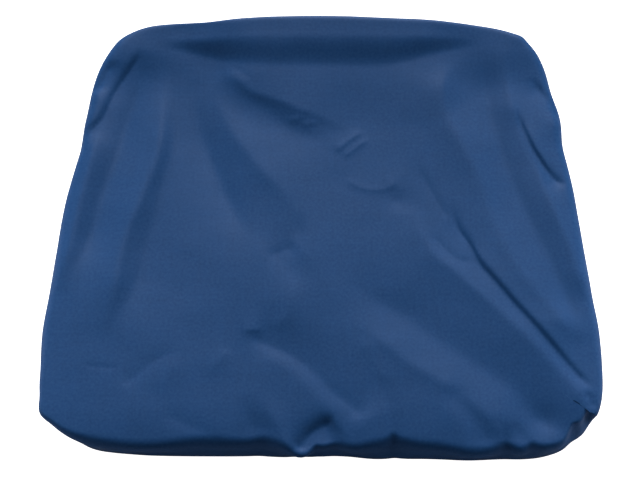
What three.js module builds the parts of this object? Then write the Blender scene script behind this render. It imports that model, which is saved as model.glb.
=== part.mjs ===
// Hatch cover: one piece of cloth drawn over a flat lid with a tapered plan and held on by its
// gathered hem, which turns under the lid. The lid itself isn't part of the model.
// Millimetres. X runs to the right along the front edge, Y to the back edge, Z up.
// The origin is on the underside of the cloth, in the middle of the top.

import * as THREE from 'three';
import { mergeVertices } from 'three/addons/utils/BufferGeometryUtils.js';

const CLOTH_THICKNESS = 1.5;
const CLOTH_COLOUR = '#2f4b74';
const CLOTH_ROUGHNESS = 0.72;

// Plan at the widest line of the skirt: where each pair of straight edges would meet, how much of each
// edge the round corner takes, and how far the edge after the corner bows out.
const corners = [
  { name: 'front left', x: -314, y: -262, cutBefore: 80, cutAfter: 100, bow: 1 },
  { name: 'front right', x: 316, y: -271, cutBefore: 88, cutAfter: 92, bow: 6 },
  { name: 'back right', x: 258, y: 253, cutBefore: 74, cutAfter: 94, bow: 4 },
  { name: 'back left', x: -254, y: 257, cutBefore: 102, cutAfter: 98, bow: 8 },
];

// Places where the plan's edge swells out, or in where out is negative.
const swells = [
  { name: 'left side, front', x: -303, y: -135, out: 6, width: 50 },
  { name: 'left side, middle', x: -302, y: -60, out: 2, width: 110 },
  { name: 'left side, back', x: -290, y: 40, out: 2.5, width: 55 },
  { name: 'right side, front', x: 306, y: -140, out: 8, width: 58 },
  { name: 'right side, lower middle', x: 300, y: -30, out: 2.2, width: 110 },
  { name: 'right side, middle', x: 285, y: 60, out: 2.5, width: 45 },
  { name: 'right side, back', x: 270, y: 135, out: 5, width: 28 },
  { name: 'back edge, right', x: 190, y: 258, out: -3, width: 32 },
];

// Front corners, below which the skirt leans in towards the gathered hem, by an angle in degrees.
const tips = [
  { name: 'front left', x: -306, y: -228, lean: 29, reach: 66 },
  { name: 'front right', x: 303, y: -236, lean: 17, reach: 74 },
];

// The cloth below the rim of the top, followed from the rim to the free edge of the hem. A stretch has
// its length along the cloth, the angle it turns through, and the steps it is divided into.
const ROLL_RADIUS = 10;
const TUCK_RADIUS = 9;
const HEM_DEPTH = 44;
const WALL_HEIGHT = 35;
const HEM_RISE = 5;
const WALL_TURN = 4;
const TUCK_TURN = 95;
const ROLL_TURN = 180 + HEM_RISE - WALL_TURN - TUCK_TURN;

// The lid's rim stands proud along the back edge, and the cloth falls from it to the top. The slope is
// widest in the middle, narrows and ends towards the two corners, and starts softly below its foot.
const BACK_RIM_HEIGHT = 15.5;
const BACK_RIM_FOOT_Y = 200;
const BACK_RIM_CREST_Y = 233;
const BACK_RIM_NARROWING = 24;
const BACK_RIM_NARROWS_FROM = 62;
const BACK_RIM_NARROWS_TO = 180;
const BACK_RIM_ENDS_FROM = 115;
const BACK_RIM_ENDS_TO = 195;
const BACK_LEAD_Y = 110;
const BACK_LEAD_SHARE = 0.48;
const cornerRises = [
  { name: 'back left', x: -214, y: 245, reachSide: 100, reachFront: 74 },
  { name: 'back right', x: 196, y: 245, reachSide: 112, reachFront: 68 },
];
const RISE_SHARE = 0.55;

// Gathers of the hem: waves whose height swells and shrinks along the edge, and whose spacing drifts.
const GATHER_COUNT = 24;
const GATHER_HEIGHT = 3.6;
const GATHER_UNEVENNESS = 0.35;
const GATHER_SWELLS = 5;
const GATHER_START = 8;
const GATHER_DRIFT = 3;

// Main folds. A path runs over the cloth laid flat, so places beyond the rim are on the skirt. Height is
// positive for a ridge and negative for a trough. Back and front are the widths of its two flanks, on
// the path's left and right, and fadeIn and fadeOut the lengths in which it starts and ends.
const folds = [
  { name: 'right shoulder', height: 3, back: 16, front: 42, fadeIn: 30, fadeOut: 40,
    path: [[214, 254], [240, 232], [254, 200], [263, 168], [276, 96]] },
  { name: 'long crease', height: -2.4, back: 12, front: 12, fadeIn: 60, fadeOut: 25,
    path: [[148, 36], [167, -26], [198, -77], [258, -153], [301, -202]] },
  { name: 'bow ridge', height: 5.6, back: 34, front: 52, fadeIn: 85, fadeOut: 40,
    path: [[166, 226], [146, 184], [143, 142], [170, 78], [203, -20], [250, -98], [286, -150]] },
  { name: 'bow trough', height: -3.6, back: 17, front: 34, fadeIn: 120, fadeOut: 50,
    path: [[204, 240], [196, 165], [211, 80], [243, -10], [272, -87], [292, -138]] },
  { name: 'right edge ridge', height: 3.6, back: 12, front: 17, fadeIn: 100, fadeOut: 40,
    path: [[214, 236], [219, 165], [235, 100], [263, 20], [284, -45], [296, -100]] },
  { name: 'right side crease', height: -3.2, back: 12, front: 16, fadeIn: 30, fadeOut: 14,
    path: [[226, 146], [238, 108], [257, 70], [282, 45]] },
  { name: 'upper diagonal ridge', height: 3.7, back: 15, front: 46, fadeIn: 110, fadeOut: 30,
    path: [[96, 40], [116, -20], [150, -62], [200, -112], [250, -166], [299, -233]] },
  { name: 'lower diagonal trough', height: -4.6, back: 46, front: 30, fadeIn: 150, fadeOut: 30,
    path: [[5, -40], [65, -95], [125, -138], [200, -190], [256, -257]] },
  { name: 'front diagonal ridge', height: 2.9, back: 30, front: 15, fadeIn: 70, fadeOut: 20,
    path: [[30, -108], [75, -150], [130, -190], [204, -258]] },
  { name: 'lower left trough', height: -3.2, back: 50, front: 12, fadeIn: 24, fadeOut: 16,
    path: [[-84, -137], [-40, -156], [0, -187], [50, -236]] },
  { name: 'middle trough', height: -5, back: 26, front: 22, fadeIn: 150, fadeOut: 90,
    path: [[-165, 215], [-145, 145], [-122, 72], [-97, 12], [-62, -38]] },
  { name: 'middle ridge', height: 5, back: 52, front: 26, fadeIn: 130, fadeOut: 60,
    path: [[-142, 208], [-118, 152], [-93, 101], [-62, 59], [-28, 15], [-15, -12]] },
  { name: 'panel edge', height: 3.4, back: 60, front: 80, fadeIn: 100, fadeOut: 100,
    path: [[-8, 55], [-20, -20], [-40, -105], [-95, -148]] },
  { name: 'stay trough', height: -2.2, back: 18, front: 40, fadeIn: 40, fadeOut: 50,
    path: [[-113, 182], [-78, 152], [-33, 117], [20, 96]] },
  { name: 'stay ridge', height: 5.2, back: 120, front: 16, fadeIn: 40, fadeOut: 110,
    path: [[-124, 194], [-80, 165], [-28, 143], [50, 100]] },
  { name: 'left shoulder', height: 4.5, back: 42, front: 16, fadeIn: 30, fadeOut: 40,
    path: [[-222, 256], [-242, 230], [-256, 198], [-265, 160], [-276, 90]] },
  { name: 'left trough', height: -4.9, back: 40, front: 16, fadeIn: 110, fadeOut: 80,
    path: [[-172, 205], [-168, 120], [-180, 45], [-196, -30], [-220, -140]] },
  { name: 'left ridge', height: 8.4, back: 15, front: 30, fadeIn: 110, fadeOut: 80,
    path: [[-184, 205], [-184, 105], [-203, 30], [-226, -60], [-238, -145]] },
  { name: 'left edge trough', height: -7.5, back: 34, front: 17, fadeIn: 120, fadeOut: 80,
    path: [[-200, 232], [-214, 162], [-240, 65], [-261, -25], [-284, -80]] },
  { name: 'left edge ridge', height: 5.5, back: 18, front: 12, fadeIn: 60, fadeOut: 70,
    path: [[-250, 134], [-264, 70], [-275, 10], [-293, -100]] },
  { name: 'left side crease', height: -4, back: 30, front: 12, fadeIn: 24, fadeOut: 20,
    path: [[-208, 222], [-229, 186], [-246, 151], [-274, 102]] },
  { name: 'front pocket', height: -5, back: 14, front: 20, fadeIn: 26, fadeOut: 16,
    path: [[-26, -266], [-12, -250], [18, -234]] },
  { name: 'front bulge', height: 8, back: 16, front: 14, fadeIn: 50, fadeOut: 25,
    path: [[-72, -190], [-54, -228], [-40, -255], [-30, -305]] },
  { name: 'front dent', height: -6, back: 15, front: 13, fadeIn: 50, fadeOut: 20,
    path: [[66, -180], [75, -215], [80, -245], [82, -310]] },
];
const PATH_STEP = 12;
const FOLD_ROUNDNESS = 8;

// Mesh: squares across the top, counted out from the middle, and rings beyond the rim.
const TOP_RINGS = 17;
const EDGE_SAMPLES = 20;
const NORMAL_SPREAD = 6;

const RING_POINTS = 8 * TOP_RINGS;
const SIDE_POINTS = 2 * TOP_RINGS;
const stretches = [
  { name: 'roll', steps: 3, radius: ROLL_RADIUS, turn: (lean) => ROLL_TURN + lean },
  { name: 'wall', steps: 1, turn: () => WALL_TURN, length: (rise) => WALL_HEIGHT - ROLL_RADIUS + rise },
  { name: 'tuck', steps: 3, radius: TUCK_RADIUS, turn: (lean) => TUCK_TURN - lean },
  { name: 'hem', steps: 2, turn: () => 0, length: () => HEM_DEPTH },
];

function smoothStep(value) {
  const t = THREE.MathUtils.clamp(value, 0, 1);
  return t * t * (3 - 2 * t);
}

// How near a point is to a place, from 0 far beyond its reach to 1 at the place itself.
function nearness(point, place, reach) {
  const distance = Math.hypot(point.x - place.x, point.y - place.y) / reach;
  return Math.exp(-distance * distance);
}

// One quarter of the plan: from the middle of an edge, round a corner, to the middle of the next edge.
function quarterOutline(previous, corner, next) {
  const at = (c) => new THREE.Vector2(c.x, c.y);
  const along = (from, to, distance) => {
    const direction = at(to).sub(at(from)).normalize();
    return at(from).addScaledVector(direction, distance);
  };
  const edge = (from, to) => {
    const start = along(from, to, from.cutAfter);
    const end = along(to, from, to.cutBefore);
    const out = end.clone().sub(start).normalize();
    out.set(out.y, -out.x);
    return (t) => {
      const bulge = from.bow * (1 - (2 * t - 1) ** 2) ** 2;
      return start.clone().lerp(end, t).addScaledVector(out, bulge);
    };
  };
  const before = edge(previous, corner);
  const after = edge(corner, next);
  const round = new THREE.QuadraticBezierCurve(before(1), at(corner), after(0));
  const points = [];
  for (let i = 0; i <= EDGE_SAMPLES; i += 1) points.push(before(0.5 + i / EDGE_SAMPLES / 2));
  points.push(...round.getPoints(EDGE_SAMPLES).slice(1));
  for (let i = 1; i <= EDGE_SAMPLES; i += 1) points.push(after(i / EDGE_SAMPLES / 2));
  return new THREE.Path(points).getSpacedPoints(SIDE_POINTS).slice(0, SIDE_POINTS);
}

// The plan as a ring of points that starts at the front left corner and runs anticlockwise.
function planRing() {
  const quarters = corners.map((corner, i) =>
    quarterOutline(corners[(i + 3) % 4], corner, corners[(i + 1) % 4]));
  const all = quarters.flat();
  const ring = all.map((_, i) => all[(i + TOP_RINGS) % RING_POINTS]);
  const normals = ringNormals(ring);
  return ring.map((point, i) => {
    const out = swells.reduce((sum, swell) => sum + swell.out * nearness(point, swell, swell.width), 0);
    return point.clone().addScaledVector(normals[i], out);
  });
}

// Directions that point out of the plan, averaged over neighbours so that they fan out at the corners.
function ringNormals(ring) {
  const raw = ring.map((point, i) => {
    const next = ring[(i + 1) % RING_POINTS];
    const last = ring[(i + RING_POINTS - 1) % RING_POINTS];
    return new THREE.Vector2(next.y - last.y, last.x - next.x).normalize();
  });
  return raw.map((normal, i) => {
    const sum = new THREE.Vector2();
    for (let k = -NORMAL_SPREAD; k <= NORMAL_SPREAD; k += 1) {
      sum.addScaledVector(raw[(i + k + RING_POINTS) % RING_POINTS], NORMAL_SPREAD + 1 - Math.abs(k));
    }
    return sum.normalize();
  });
}

// Height of the top before its folds: level, with the proud rim along the back and at its two corners.
function topHeight(x, y) {
  const narrow = (Math.abs(x) - BACK_RIM_NARROWS_FROM) / (BACK_RIM_NARROWS_TO - BACK_RIM_NARROWS_FROM);
  const foot = BACK_RIM_FOOT_Y + BACK_RIM_NARROWING * smoothStep(narrow);
  const ends = (Math.abs(x) - BACK_RIM_ENDS_FROM) / (BACK_RIM_ENDS_TO - BACK_RIM_ENDS_FROM);
  const steep = smoothStep((y - foot) / (BACK_RIM_CREST_Y - foot)) * (1 - smoothStep(ends));
  const lead = smoothStep((y - BACK_LEAD_Y) / (BACK_RIM_CREST_Y - BACK_LEAD_Y));
  let below = 1 - BACK_LEAD_SHARE * lead - (1 - BACK_LEAD_SHARE) * steep;
  for (const rise of cornerRises) {
    const reachY = y < rise.y ? rise.reachFront : rise.reachSide;
    const distance = Math.hypot((x - rise.x) / rise.reachSide, (y - rise.y) / reachY);
    below *= 1 - RISE_SHARE * (1 - smoothStep(distance));
  }
  return BACK_RIM_HEIGHT * (1 - below);
}

// A fold's path as short straight pieces with their directions and the lengths before them.
function foldPieces(fold) {
  const curve = new THREE.CatmullRomCurve3(fold.path.map(([x, y]) => new THREE.Vector3(x, y, 0)));
  const points = curve.getSpacedPoints(Math.ceil(curve.getLength() / PATH_STEP));
  let before = 0;
  return points.slice(1).map((end, i) => {
    const start = points[i];
    const length = start.distanceTo(end);
    const piece = { start, length, before, direction: end.clone().sub(start).normalize() };
    before += length;
    return piece;
  });
}

const foldRows = folds.map((fold) => {
  const pieces = foldPieces(fold);
  const last = pieces[pieces.length - 1];
  return { ...fold, pieces, total: last.before + last.length };
});

// Height that one fold adds at a place on the flat cloth.
function foldHeight(fold, x, y) {
  let best = { distance: Infinity };
  fold.pieces.forEach((piece, i) => {
    const dx = x - piece.start.x;
    const dy = y - piece.start.y;
    const low = i === 0 ? -Infinity : 0;
    const high = i === fold.pieces.length - 1 ? Infinity : piece.length;
    const along = THREE.MathUtils.clamp(dx * piece.direction.x + dy * piece.direction.y, low, high);
    const offX = dx - along * piece.direction.x;
    const offY = dy - along * piece.direction.y;
    const distance = Math.hypot(offX, offY);
    if (distance >= best.distance) return;
    const side = piece.direction.x * dy - piece.direction.y * dx;
    best = { distance, side, along: piece.before + along };
  });
  const width = best.side > 0 ? fold.back : fold.front;
  const rounded = Math.hypot(best.distance, FOLD_ROUNDNESS) - FOLD_ROUNDNESS;
  const fade = smoothStep(best.along / fold.fadeIn) * smoothStep((fold.total - best.along) / fold.fadeOut);
  return fold.height * fade * Math.exp(-rounded / width);
}

function allFoldsHeight(x, y) {
  return foldRows.reduce((sum, fold) => sum + foldHeight(fold, x, y), 0);
}

// Gathers at a fraction of the way round the edge, at a length past the rim.
function gatherHeight(fraction, past, whole) {
  const turn = 2 * Math.PI * fraction;
  const swell = 1 + GATHER_UNEVENNESS * Math.sin(GATHER_SWELLS * turn);
  const growth = smoothStep((past - GATHER_START) / (whole - GATHER_START));
  return GATHER_HEIGHT * swell * growth * Math.sin(GATHER_COUNT * turn + Math.sin(GATHER_DRIFT * turn));
}

// Places down one line of the skirt, from the rim to the free edge, and the cloth's outward direction.
function skirtLine(rim, out, fraction) {
  const rise = topHeight(rim.x, rim.y);
  const lean = tips.reduce((sum, tip) => sum + tip.lean * nearness(rim, tip, tip.reach), 0);
  const turns = stretches.map((stretch) => THREE.MathUtils.degToRad(stretch.turn(lean)));
  const lengths = stretches.map((stretch, k) =>
    stretch.radius ? stretch.radius * turns[k] : stretch.length(rise));
  const whole = lengths.reduce((sum, length) => sum + length, 0);
  const line = [];
  let heading = 0;
  let past = 0;
  let reach = 0;
  let height = rise;
  stretches.forEach((stretch, k) => {
    const step = lengths[k] / stretch.steps;
    const turn = turns[k] / stretch.steps;
    for (let i = 0; i < stretch.steps; i += 1) {
      heading += turn / 2;
      reach += step * Math.cos(heading);
      height -= step * Math.sin(heading);
      heading += turn / 2;
      past += step;
      const flat = rim.clone().addScaledVector(out, past);
      const proud = allFoldsHeight(flat.x, flat.y) + gatherHeight(fraction, past, whole);
      const sideways = reach + proud * Math.sin(heading);
      const place = rim.clone().addScaledVector(out, sideways);
      line.push(new THREE.Vector3(place.x, place.y, height + proud * Math.cos(heading)));
    }
  });
  return line;
}

// Number of a place in the square net of the top, and its turn round the ring that it lies on.
const netWidth = 2 * TOP_RINGS + 1;
const netIndex = (i, j) => (j + TOP_RINGS) * netWidth + i + TOP_RINGS;

function ringTurn(i, j) {
  const k = Math.max(Math.abs(i), Math.abs(j));
  if (k === 0) return 0;
  if (j === -k) return (i + k) / (8 * k);
  if (i === k) return (j + 3 * k) / (8 * k);
  if (j === k) return (5 * k - i) / (8 * k);
  return (7 * k - j) / (8 * k);
}

function clothGeometry() {
  const plan = planRing();
  const normals = ringNormals(plan);
  const rim = plan.map((point, i) => point.clone().addScaledVector(normals[i], -ROLL_RADIUS));
  const outer = [];
  for (let j = -TOP_RINGS; j <= TOP_RINGS; j += 1) {
    for (let i = -TOP_RINGS; i <= TOP_RINGS; i += 1) {
      const share = Math.max(Math.abs(i), Math.abs(j)) / TOP_RINGS;
      const turn = ringTurn(i, j) * RING_POINTS;
      const low = Math.floor(turn) % RING_POINTS;
      const place = rim[low].clone().lerp(rim[(low + 1) % RING_POINTS], turn - Math.floor(turn));
      place.multiplyScalar(share);
      const height = topHeight(place.x, place.y) + allFoldsHeight(place.x, place.y);
      outer.push(new THREE.Vector3(place.x, place.y, height));
    }
  }

  // Rings of vertex numbers, from the rim of the net to the free edge of the hem.
  const rimNumbers = [];
  for (let i = -TOP_RINGS; i < TOP_RINGS; i += 1) rimNumbers.push(netIndex(i, -TOP_RINGS));
  for (let j = -TOP_RINGS; j < TOP_RINGS; j += 1) rimNumbers.push(netIndex(TOP_RINGS, j));
  for (let i = TOP_RINGS; i > -TOP_RINGS; i -= 1) rimNumbers.push(netIndex(i, TOP_RINGS));
  for (let j = TOP_RINGS; j > -TOP_RINGS; j -= 1) rimNumbers.push(netIndex(-TOP_RINGS, j));
  const rings = [rimNumbers];
  const lines = rim.map((point, i) => skirtLine(point, normals[i], i / RING_POINTS));
  for (let m = 0; m < lines[0].length; m += 1) {
    rings.push(lines.map((line) => outer.push(line[m]) - 1));
  }

  const faces = [];
  for (let j = -TOP_RINGS; j < TOP_RINGS; j += 1) {
    for (let i = -TOP_RINGS; i < TOP_RINGS; i += 1) {
      const [a, b] = [netIndex(i, j), netIndex(i + 1, j)];
      const [c, d] = [netIndex(i + 1, j + 1), netIndex(i, j + 1)];
      if ((i < 0) === (j < 0)) faces.push([a, b, d], [b, c, d]);
      else faces.push([a, b, c], [a, c, d]);
    }
  }
  for (let m = 1; m < rings.length; m += 1) {
    for (let i = 0; i < RING_POINTS; i += 1) {
      const next = (i + 1) % RING_POINTS;
      const [a, b] = [rings[m][i], rings[m][next]];
      const [c, d] = [rings[m - 1][next], rings[m - 1][i]];
      faces.push([a, b, c], [a, c, d]);
    }
  }

  // The inner side is the outer one moved inwards by the cloth's thickness.
  const skin = new THREE.BufferGeometry().setFromPoints(outer);
  skin.setIndex(faces.flat());
  skin.computeVertexNormals();
  const outward = skin.getAttribute('normal');
  const inner = outer.map((point, i) => {
    const normal = new THREE.Vector3().fromBufferAttribute(outward, i);
    return point.clone().addScaledVector(normal, -CLOTH_THICKNESS);
  });
  const count = outer.length;
  const innerFaces = faces.map(([a, b, c]) => [a + count, c + count, b + count]);
  const lastRing = rings[rings.length - 1];
  const edge = lastRing.flatMap((a, i) => {
    const b = lastRing[(i + 1) % RING_POINTS];
    return [[a, a + count, b], [b, a + count, b + count]];
  });

  const solid = new THREE.BufferGeometry().setFromPoints([...outer, ...inner]);
  solid.setIndex([...faces, ...innerFaces, ...edge].flat());
  const middle = inner[netIndex(0, 0)];
  solid.translate(-middle.x, -middle.y, -middle.z);
  return mergeVertices(solid);
}

const cloth = new THREE.MeshStandardMaterial({
  color: CLOTH_COLOUR,
  roughness: CLOTH_ROUGHNESS,
  metalness: 0,
});
const cover = new THREE.Mesh(clothGeometry(), cloth);
cover.name = 'cover';

const hatchCover = new THREE.Group();
hatchCover.add(cover);

export default hatchCover;
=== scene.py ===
"""Hatch cover: one piece of cloth drawn over a flat lid with a tapered plan, its hem gathered under it."""

import math
from collections import namedtuple

import bpy
import numpy as np
from bpy.props import FloatProperty, FloatVectorProperty, IntProperty, PointerProperty
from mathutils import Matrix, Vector


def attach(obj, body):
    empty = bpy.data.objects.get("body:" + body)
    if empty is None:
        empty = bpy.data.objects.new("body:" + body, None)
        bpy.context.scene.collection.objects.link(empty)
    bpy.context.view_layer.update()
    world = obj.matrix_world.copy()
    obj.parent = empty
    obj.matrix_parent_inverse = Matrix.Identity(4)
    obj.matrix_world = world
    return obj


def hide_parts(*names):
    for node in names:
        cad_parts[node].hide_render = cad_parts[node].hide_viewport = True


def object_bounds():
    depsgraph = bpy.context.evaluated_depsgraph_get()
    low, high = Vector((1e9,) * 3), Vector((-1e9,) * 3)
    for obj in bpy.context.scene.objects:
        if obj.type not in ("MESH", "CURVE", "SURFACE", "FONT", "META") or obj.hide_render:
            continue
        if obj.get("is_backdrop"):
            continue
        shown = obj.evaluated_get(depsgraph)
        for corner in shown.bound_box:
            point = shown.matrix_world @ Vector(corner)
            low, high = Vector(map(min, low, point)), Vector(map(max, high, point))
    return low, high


bl_info = {
    "name": "Hatch Cover",
    "version": (1, 0, 0),
    "blender": (4, 5, 0),
    "location": "View3D > Sidebar > Cover",
    "description": "Makes a fitted cloth cover with a gathered hem, and a stage to show it on",
    "category": "Object",
}

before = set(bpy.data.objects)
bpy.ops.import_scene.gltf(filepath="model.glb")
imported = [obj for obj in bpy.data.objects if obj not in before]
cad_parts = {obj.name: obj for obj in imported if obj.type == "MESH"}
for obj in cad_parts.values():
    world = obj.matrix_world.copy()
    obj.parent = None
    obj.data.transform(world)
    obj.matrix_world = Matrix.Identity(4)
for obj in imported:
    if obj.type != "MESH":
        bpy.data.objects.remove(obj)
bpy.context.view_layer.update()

MM = 0.001
CLOTH_NAME = "cover_cloth"
STITCH_NAME = "hem_stitches"
FLAT_MAP = "flat_cloth"

# The cloth's tables and named sizes hold millimetres, with X to the right along the front edge and Y to
# the back edge. The properties further down hold metres.

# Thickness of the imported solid, whose underside is at zero in the middle of the top.
CAD_CLOTH_THICKNESS = 1.5

# Plan at the widest line of the skirt: where each pair of straight edges would meet, how much of each
# edge the round corner takes, and how far the edge after the corner bows out.
Corner = namedtuple("Corner", "name x y cut_before cut_after bow")
CORNERS = [
    Corner("front left", -314, -262, 80, 100, 1),
    Corner("front right", 316, -271, 88, 92, 6),
    Corner("back right", 258, 253, 74, 94, 3),
    Corner("back left", -254, 257, 102, 98, 8),
]
# Places where the plan's edge swells out, or in where out is negative.
Swell = namedtuple("Swell", "name x y out width")
SWELLS = [
    Swell("left side middle", -302, -60, 1.8, 110),
    Swell("right side lower", 300, -30, 2.2, 110),
    Swell("left side, front", -303, -135, 6, 50),
    Swell("left side, back", -290, 40, 2.5, 55),
    Swell("front left tip", -306, -226, 6, 13),
    Swell("right side, back", 270, 135, 5, 28),
    Swell("right side, middle", 285, 60, 2.5, 45),
    Swell("right side, front", 306, -140, 8, 58),
    Swell("back edge, right", 190, 258, -2, 32),
    Swell("back right tip", 243, 243, 8, 8),
    Swell("back left round", -222, 246, 4, 28),
]

# Places where the cloth turns over the lid's edge more sharply or more softly than elsewhere, and where
# the skirt leans in to the gathered hem.
Tip = namedtuple("Tip", "name x y radius_share lean reach")
TIPS = [
    Tip("front left", -306, -228, 0.4, math.radians(29), 66),
    Tip("front right", 303, -236, 0.5, math.radians(17), 74),
    Tip("front edge, left", -185, -262, 1.15, 0.0, 70),
]

# Waves of the line where the top turns into the skirt, along the front: place, how far out, how far
# towards the back, how wide.
RimWave = namedtuple("RimWave", "name x y out back width")
RIM_WAVES = [
    RimWave("left lip", -190, -262, 7, 0, 44),
    RimWave("left flat", -128, -262, -2, 0, 20),
    RimWave("left dent", -62, -262, -4, 0, 11),
    RimWave("bulge", -18, -264, 13, 0, 17),
    RimWave("pocket", -5, -264, -6, 0, 5),
    RimWave("pocket lobe", 6, -264, 2, 0, 8),
    RimWave("pocket side", 36, -266, 4, 0, 15),
    RimWave("middle dent", 82, -267, -5, 0, 18),
    RimWave("middle notch", 79, -267, -5, 0, 5),
    RimWave("right swell", 165, -269, 7, 0, 30),
    RimWave("right notch", 199, -270, -4, 0, 8),
    RimWave("right finger", 217, -270, 3, 0, 9),
    RimWave("second notch", 230, -270, -3, 0, 7),
    RimWave("right corner notch", 283, -256, -10, 6, 15),
    RimWave("right corner notch's top", 297, -242, -4, 12, 8),
]
# The skirt loses these waves between two lengths down the cloth, and the top takes them on from a share
# of the way out to its rim.
RIM_WAVE_STARTS = 8.0
RIM_WAVE_ENDS = 34.0
WAVED_FROM = 0.7

# Points drawn in each half of a plan's edge, and the length along the plan over which its outward
# direction is averaged.
CORNER_SAMPLES = 40
NORMAL_SPREAD = 26.0

# Rises of the top where the lid's corners stand proud along the back: middle of each rise, how far it
# reaches sideways and to the front, and its share of the rim's height. Its middle part is level.
Rise = namedtuple("Rise", "name x y reach_side reach_front share")
CORNER_RISES = [
    Rise("back left", -214, 245, 100, 62, 0.19),
    Rise("back right", 196, 245, 112, 68, 0.4),
]
RISE_LEVEL_SHARE = 0.1

# Slope of the raised back rim: it is widest in the middle and narrows where it meets the rises.
BACK_RIM_FOOT_Y = 195
BACK_RIM_CREST_Y = 233
BACK_RIM_NARROWING = 24
BACK_RIM_NARROWS_FROM = 62
BACK_RIM_NARROWS_TO = 180
BACK_RIM_ENDS_FROM = 115
BACK_RIM_ENDS_TO = 195

# Below the rim's slope the top already climbs softly, and towards the sides this starts later. Along
# the back it climbs a little more.
BACK_LEAD_Y = 110
BACK_LEAD_LATER = 50
BACK_LEAD_MIDDLE_X = 30
BACK_LEAD_HALF_WIDTH = 85
BACK_LEAD_SHARE = 0.48
BACK_LEAD_SIDE_LOSS = 0.45
BACK_TOP_RISE = 4.0
BACK_TOP_FROM_Y = 222
BACK_TOP_TO_Y = 268

# Half the lid's width at some places from front to back, and how the top falls towards its sides and
# its front.
LID_HALF_WIDTHS = ((-240, 306), (0, 291), (100, 275), (170, 264), (250, 235))
SIDE_FALL = 2.0
SIDE_FALL_REACH = 60.0
LID_FRONT_Y = -262.0
FRONT_FALL = 2.2
FRONT_FALL_REACH = 45.0

# Folds. A path runs over the cloth laid flat, so places beyond the rim are on the skirt. Height is
# positive for a ridge and negative for a trough. Left and right are the widths of its two flanks,
# looking along the path, soft is how rounded its line is, and fade_in and fade_out are the lengths in
# which it starts and ends.
Fold = namedtuple("Fold", "name height left right soft fade_in fade_out path")
RIGHT_FOLDS = [
    Fold("right shoulder", 3, 16, 42, 4, 30, 40,
         [(214, 254), (240, 232), (254, 200), (263, 168), (270, 132), (276, 96)]),
    Fold("long crease", -2.3, 2, 7, 1.4, 60, 25,
         [(148, 36), (151, 18), (154, 0), (160, -14), (167, -26), (173, -38), (177, -49), (185, -60),
          (198, -77), (214, -98), (236, -125), (258, -153), (275, -174), (286, -187), (301, -202)]),
    Fold("long crease lip", 1, 9, 3, 2, 30, 60,
         [(168, -20), (180, -43), (190, -57), (203, -74), (219, -95), (241, -122), (264, -150),
          (281, -171), (292, -184)]),
    Fold("crease beside it", -0.7, 3, 7, 1.5, 30, 14,
         [(109, 76), (117, 58), (125, 42), (133, 26), (141, 12), (147, 0)]),
    Fold("long crease twig", -0.6, 2.6, 8, 1.5, 16, 8,
         [(124, -12), (135, -27), (145, -38), (155, -46), (163, -49), (171, -46)]),
    Fold("bow ridge", 5.6, 34, 52, 4, 85, 40,
         [(166, 226), (156, 206), (146, 184), (141, 165), (143, 142), (150, 122), (160, 100), (170, 78),
          (180, 55), (187, 30), (193, 5), (203, -20), (214, -45), (230, -72), (250, -98), (270, -125),
          (286, -150)]),
    Fold("bow head", 3, 36, 38, 6, 50, 110,
         [(158, 212), (147, 186), (142, 155), (150, 122), (165, 90), (180, 50), (192, 10)]),
    Fold("bow trough", -4.3, 17, 34, 4, 120, 50,
         [(204, 240), (196, 205), (196, 165), (199, 130), (205, 105), (211, 80), (217, 60), (224, 38),
          (234, 12), (243, -10), (252, -32), (262, -57), (272, -87), (283, -115), (292, -138)]),
    Fold("right edge ridge", 3.6, 12, 17, 3, 100, 40,
         [(214, 236), (214, 198), (219, 165), (223, 140), (228, 120), (235, 100), (243, 80), (250, 60),
          (256, 40), (263, 20), (270, 0), (277, -20), (284, -45), (290, -70), (296, -100)]),
    Fold("right side crease", -3.2, 2.2, 16, 1.4, 30, 14,
         [(226, 146), (233, 122), (238, 108), (243, 95), (250, 82), (257, 70), (265, 59), (273, 51),
          (282, 45)]),
    Fold("right side lip", 1.2, 12, 3, 1.4, 30, 30,
         [(236, 128), (242, 112), (247, 98), (254, 85), (261, 73), (269, 63)]),
    Fold("right top crease", -2.6, 1.8, 12, 1.6, 20, 20,
         [(246, 186), (255, 172), (262, 160), (268, 150), (273, 138), (276, 122)]),
]
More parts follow.
